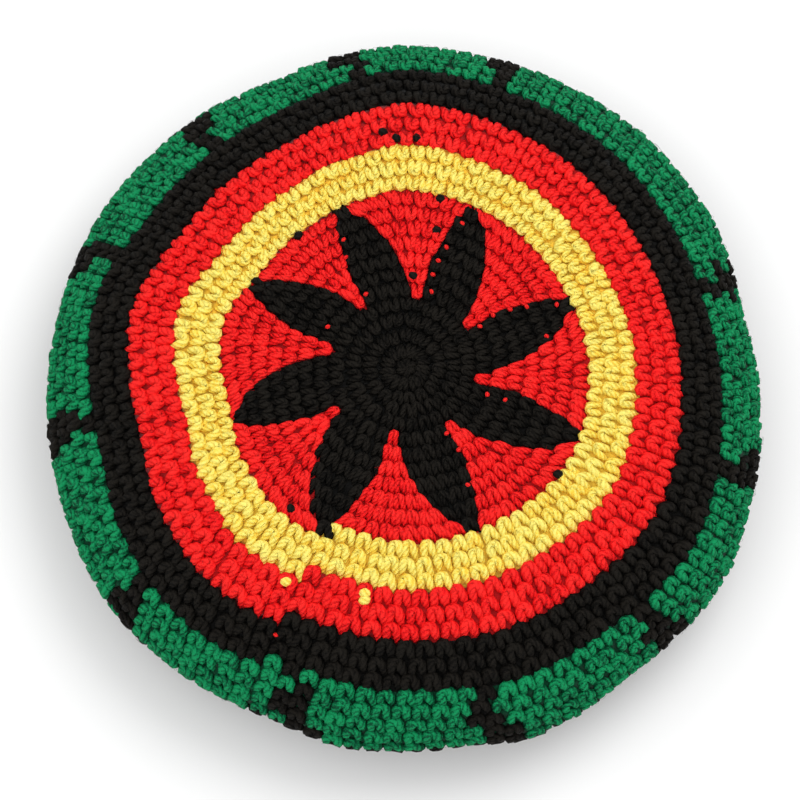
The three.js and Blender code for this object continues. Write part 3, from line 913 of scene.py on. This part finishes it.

# %% [markdown]
# Five things give the yarn's tone: its depth, the ply that is up, its stitch, patches of a few
# millimetres and single fibres. Depth and ply are painted light and shade: depth darkens the holes
# between the loops with painted shade and lightens the loops that stand up, as in the photo, and
# the ply paints shade into the grooves between plies. The stitch, the patches and the fibres are
# the yarn's own uneven tone. An image could hold all this, but numbers on the mesh stay sharp at
# any distance.

# %% Twisted yarn
PLIES = 4
FIBRE_SCALE, PATCH_SCALE = 1500.0, 220.0
DARK, EVEN_TONE, BRIGHT = 0.05, 0.55, 1.0
LEAST_ROUGH, FIBRE_ROUGH = 0.62, 0.25
PLY_HEIGHT, FIBRE_HEIGHT = 0.7, 0.9
# the depth and ply weights paint light and shade, the other three give the yarn's own uneven tone
DEPTH_SHADING_WEIGHT, PLY_SHADING_WEIGHT, STITCH_WEIGHT, PATCH_WEIGHT, FIBRE_WEIGHT = 0.6, 0.42, 0.3, 0.9, 1.6


def yarn_group():
    """Colour, roughness and height of twisted yarn, from its UV map and two numbers on it. The
    colour holds painted light and shade: lighter on the loops that stand up and on the crests of the
    plies, painted shade in the holes and between the plies. The plies are the absolute value of a
    sine wave over the sum of both directions of the map."""
    outputs = {"Colour": "Color", "Roughness": "Float", "Height": "Float"}
    group, given = new_group("twisted_yarn", ("Light", "Middle", "Shade"), outputs)
    phase = math(group, "ADD", *yarn_uv(group))
    ply = math(group, "ABSOLUTE", math(group, "SINE", math(group, "MULTIPLY", phase, np.pi * PLIES)))
    fibres = noise(group, FIBRE_SCALE, 3.0)
    patches = noise(group, PATCH_SCALE, 2.0)
    depth = node(group, "ShaderNodeAttribute", attribute_name="depth").outputs["Fac"]
    stitch = node(group, "ShaderNodeAttribute", attribute_name="tone").outputs["Fac"]
    # the last three lie round a half, so half of their weights comes off
    start = -0.5 * (STITCH_WEIGHT + PATCH_WEIGHT + FIBRE_WEIGHT)
    # painted light and shade from depth and ply, and the yarn's own uneven tone from stitch, patches
    # and fibres
    tone = weigh(group, start, [(depth, DEPTH_SHADING_WEIGHT), (ply, PLY_SHADING_WEIGHT), (stitch, STITCH_WEIGHT),
                                (patches, PATCH_WEIGHT), (fibres, FIBRE_WEIGHT)])
    colour = blend(group, tone, DARK, EVEN_TONE, given["Shade"], given["Middle"])
    colour = blend(group, tone, EVEN_TONE, BRIGHT, colour, given["Light"])
    rough = weigh(group, LEAST_ROUGH, [(fibres, FIBRE_ROUGH)])
    height = weigh(group, 0.0, [(ply, PLY_HEIGHT), (fibres, FIBRE_HEIGHT)])
    node(group, "NodeGroupOutput", {"Colour": colour, "Roughness": rough, "Height": height})
    return group


TWISTED = yarn_group()
print(TWISTED.name, "nodes:", len(TWISTED.nodes))

# %% [markdown]
# The wrong side of single crochet shows a low bar for each stitch, a row for each round. Loops of
# yarn there would double the faces for a side that is seldom seen, so waves over the wall's UV
# map draw the bars, as bumps and as painted light on the bars and painted shade between them: it
# runs round the cap and from the crown to the hem.

# %% Wrong side of the fabric
BARS = 96
BAR_SHARE = 0.4
BACK_NOISE_SCALE = 900.0
BACK_DARK, BACK_BRIGHT = -1.2, 1.8


def wrong_side_group():
    """Colour and height of the backs of the stitches: a sine wave for the bars round the cap, one
    for the rounds along the cloth, and noise for the yarn. The colour is painted light on the bars
    and rounds and painted shade between them."""
    outputs = {"Colour": "Color", "Height": "Float"}
    group, given = new_group("wrong_side", ("Light", "Shade"), outputs)
    turn, along = yarn_uv(group)
    bars = math(group, "SINE", math(group, "MULTIPLY", turn, 2 * np.pi * BARS))
    rows = math(group, "SINE", math(group, "MULTIPLY", along, 2 * np.pi * MAP_LENGTH / ROUND_HEIGHT))
    relief = weigh(group, noise(group, BACK_NOISE_SCALE, 2.0), [(bars, BAR_SHARE), (rows, 1.0)])
    # painted light on the bars and rounds and painted shade between them, with noise for the yarn's
    # own uneven tone
    colour = blend(group, relief, BACK_DARK, BACK_BRIGHT, given["Shade"], given["Light"])
    node(group, "NodeGroupOutput", {"Colour": colour, "Height": relief})
    return group


WRONG_SIDE = wrong_side_group()
print(WRONG_SIDE.name, "nodes:", len(WRONG_SIDE.nodes))

# %% [markdown]
# ## The four yarns
# Red, yellow, green and black yarn each need three tones: a light one, painted light for loops and
# fibres in the light, the yarn's own colour, and a shade one, painted shade for the holes between
# the loops. They could be mixed from one colour, but dyed yarn also changes hue from light to
# shade, so all three are typed in. The red and the yellow shine a little more than the black.

# %% Materials
def linear(r, g, b):
    """From the 0 to 255 of a picture to linear light."""
    c = np.array([r, g, b]) / 255
    return tuple(float(v) for v in np.where(c <= 0.04045, c / 12.92, ((c + 0.055) / 1.055) ** 2.4))


# light tone (painted light and brighter fibres), middle (the yarn's own colour) and shade tone
# (painted shade and darker fibres), then sheen and gloss
YARNS = {
    "red": (linear(255, 40, 36), linear(236, 12, 18), linear(140, 3, 7), 0.08, 0.15),
    "yellow": (linear(255, 238, 120), linear(255, 220, 78), linear(255, 192, 50), 0.08, 0.15),
    "green": (linear(16, 146, 89), linear(3, 86, 53), linear(0, 33, 24), 0.05, 0.1),
    "black": (linear(27, 24, 20), linear(10, 8, 6), linear(3, 3, 2), 0.01, 0.08),
}
SHEEN_ROUGHNESS = 0.45
BACK_SHEEN, BACK_ROUGHNESS = 0.05, 0.9
YARN_BUMP, BACK_BUMP = 1.0, 0.8
materials = {}
for colour, (light, middle, shade, sheen, gloss) in YARNS.items():
    # painted shade: the wrong side is drawn halfway between the yarn's own colour and its shade tone,
    # and half that in its grooves, so the backs showing in the holes and the head opening look shaded
    between = np.add(middle, shade) / 2
    front = {"Sheen Weight": sheen, "Sheen Roughness": SHEEN_ROUGHNESS, "Sheen Tint": (*middle, 1),
             "Specular IOR Level": gloss}
    back = {"Sheen Weight": max(sheen, BACK_SHEEN), "Specular IOR Level": 2 * gloss,
            "Roughness": BACK_ROUGHNESS}
    materials[colour] = [
        group_material(f"{colour}_yarn", TWISTED, {"Light": light, "Middle": middle, "Shade": shade},
                       YARN_BUMP, front),
        group_material(f"{colour}_wrong_side", WRONG_SIDE, {"Light": between, "Shade": between / 2},
                       BACK_BUMP, back),
    ]
print("materials:", [material.name for pair in materials.values() for material in pair])

# %% [markdown]
# ## Working the pieces
# On the real cap the yarn runs on from one colour area to the next. Here every area is a piece,
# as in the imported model, so that each can be named and changed by itself: its stitches, their
# loose fibres and the wall behind them in one mesh. It could be one object for each stitch, but
# thousands of objects are slow to handle.

# %% Build every piece
def colour_of(name):
    """The yarn that a piece is worked in, from its name."""
    return "black" if name in ("underside", "headband") else name.split("_")[0]


total = 0
for name in sorted(walls):
    picked = {key: values[stitches["name"] == name] for key, values in stitches.items()}
    plain = bool(picked["plain"].all())
    detail = (PLAIN_SIDES, PLAIN_POINTS) if plain else (SIDES, POINTS)
    parts = [stitch_mesh(picked, *detail), *walls[name]]
    if not plain:
        parts.insert(0, fibre_mesh(picked, POINTS, seed=11))
    colour = colour_of(name)
    piece = build(f"{name}_stitches", parts, materials[colour], len(walls[name]))
    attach(piece, "root")
    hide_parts(name)
    total += triangles_in(parts)
    print(name, "stitches:", len(picked["name"]), "triangles:", triangles_in(parts))
carried = {"red": (RED_DOTS, *RED_DOT), "black": (BLACK_DOTS, *BLACK_DOT),
           "yellow": (YELLOW_DOTS, *YELLOW_DOT)}
for colour, dots in carried.items():
    parts = [dot_mesh(*dots, seed=5)]
    total += triangles_in(parts)
    piece = build(f"{colour}_dots", parts, materials[colour], 0)
    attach(piece, "root")
print("triangles in all:", total)

# %% [markdown]
# ## Floor, light and camera
# The photo is a catalogue shot on white, lit softly from all round. An image of a studio could
# light it, but a pale floor, a bright even world and two large soft lamps do the same. The floor
# is left out of bounced light, so that the world lights the rim from below too, and is clear from
# behind, so that the cap can be seen from below. The camera looks down at 75 degrees from the
# side that is the foot of the photo, through a long lens.

# %% Stage
FLOOR_REACH = 3
# place, width in metres and power in watts
LAMPS = {"key": ((0.6, 0.5, 1.3), 1.0, 7), "fill": ((-0.7, -0.3, 1.2), 1.6, 3)}
LAMP_AIM = Vector((0, 0, 0.05))
WORLD_STRENGTH = 0.97
CAMERA_AIM = Vector((-0.0012, -0.0112, 0.060))
CAMERA_DISTANCE, CAMERA_ELEVATION = 1.5, np.radians(75)
# the focal length and the picture's width, both in pixels of the photo
FOCAL_PIXELS, PICTURE_PIXELS = 3747, 800
SENSOR_MM = 36


def facing(direction):
    """The rotation with which a lamp or camera looks along a direction, upright."""
    return direction.to_track_quat("-Z", "Y").to_euler()


def floor():
    """A square round the origin that shows only from above."""
    mesh = bpy.data.meshes.new("floor")
    corners = [(x * FLOOR_REACH, y * FLOOR_REACH, 0) for x, y in ((-1, -1), (1, -1), (1, 1), (-1, 1))]
    mesh.from_pydata(corners, [], [(0, 1, 2, 3)])
    plane = add("floor", mesh)
    looks = {"Base Color": (0.9, 0.9, 0.9, 1), "Roughness": 0.8}
    material, tree, shader = new_material("pale_floor", looks)
    behind = node(tree, "ShaderNodeNewGeometry").outputs["Backfacing"]
    clear = node(tree, "ShaderNodeBsdfTransparent").outputs[0]
    pick = node(tree, "ShaderNodeMixShader", {0: behind, 1: shader.outputs[0], 2: clear})
    tree.links.new(pick.outputs[0], tree.nodes["Material Output"].inputs[0])
    mesh.materials.append(material)
    plane.visible_diffuse = False


def lamp(name, place, size, power):
    """A round soft lamp that looks at the cap."""
    data = bpy.data.lights.new(name, "AREA")
    data.shape = "DISK"
    data.size = size
    data.energy = power
    lit = add(name, data)
    lit.location = place
    lit.rotation_euler = facing(LAMP_AIM - Vector(place))


def camera():
    """Looks at CAMERA_AIM from its elevation above the table and its distance."""
    back = Vector((0, -np.cos(CAMERA_ELEVATION), np.sin(CAMERA_ELEVATION)))
    data = bpy.data.cameras.new("camera")
    data.sensor_width = SENSOR_MM
    data.lens = FOCAL_PIXELS / PICTURE_PIXELS * SENSOR_MM
    cam = add("camera", data)
    cam.location = CAMERA_AIM + back * CAMERA_DISTANCE
    cam.rotation_euler = facing(-back)
    bpy.context.scene.camera = cam
    return cam


floor()
for name, (place, size, power) in LAMPS.items():
    lamp(name, place, size, power)
view = camera()
world = bpy.data.worlds.new("studio")
world.use_nodes = True
background = world.node_tree.nodes["Background"].inputs
background["Color"].default_value = (1, 1, 1, 1)
background["Strength"].default_value = WORLD_STRENGTH
bpy.context.scene.world = world
bpy.context.scene.view_settings.view_transform = "Standard"
print("camera at", tuple(round(v, 3) for v in view.location), "lens", round(view.data.lens, 1), "mm")
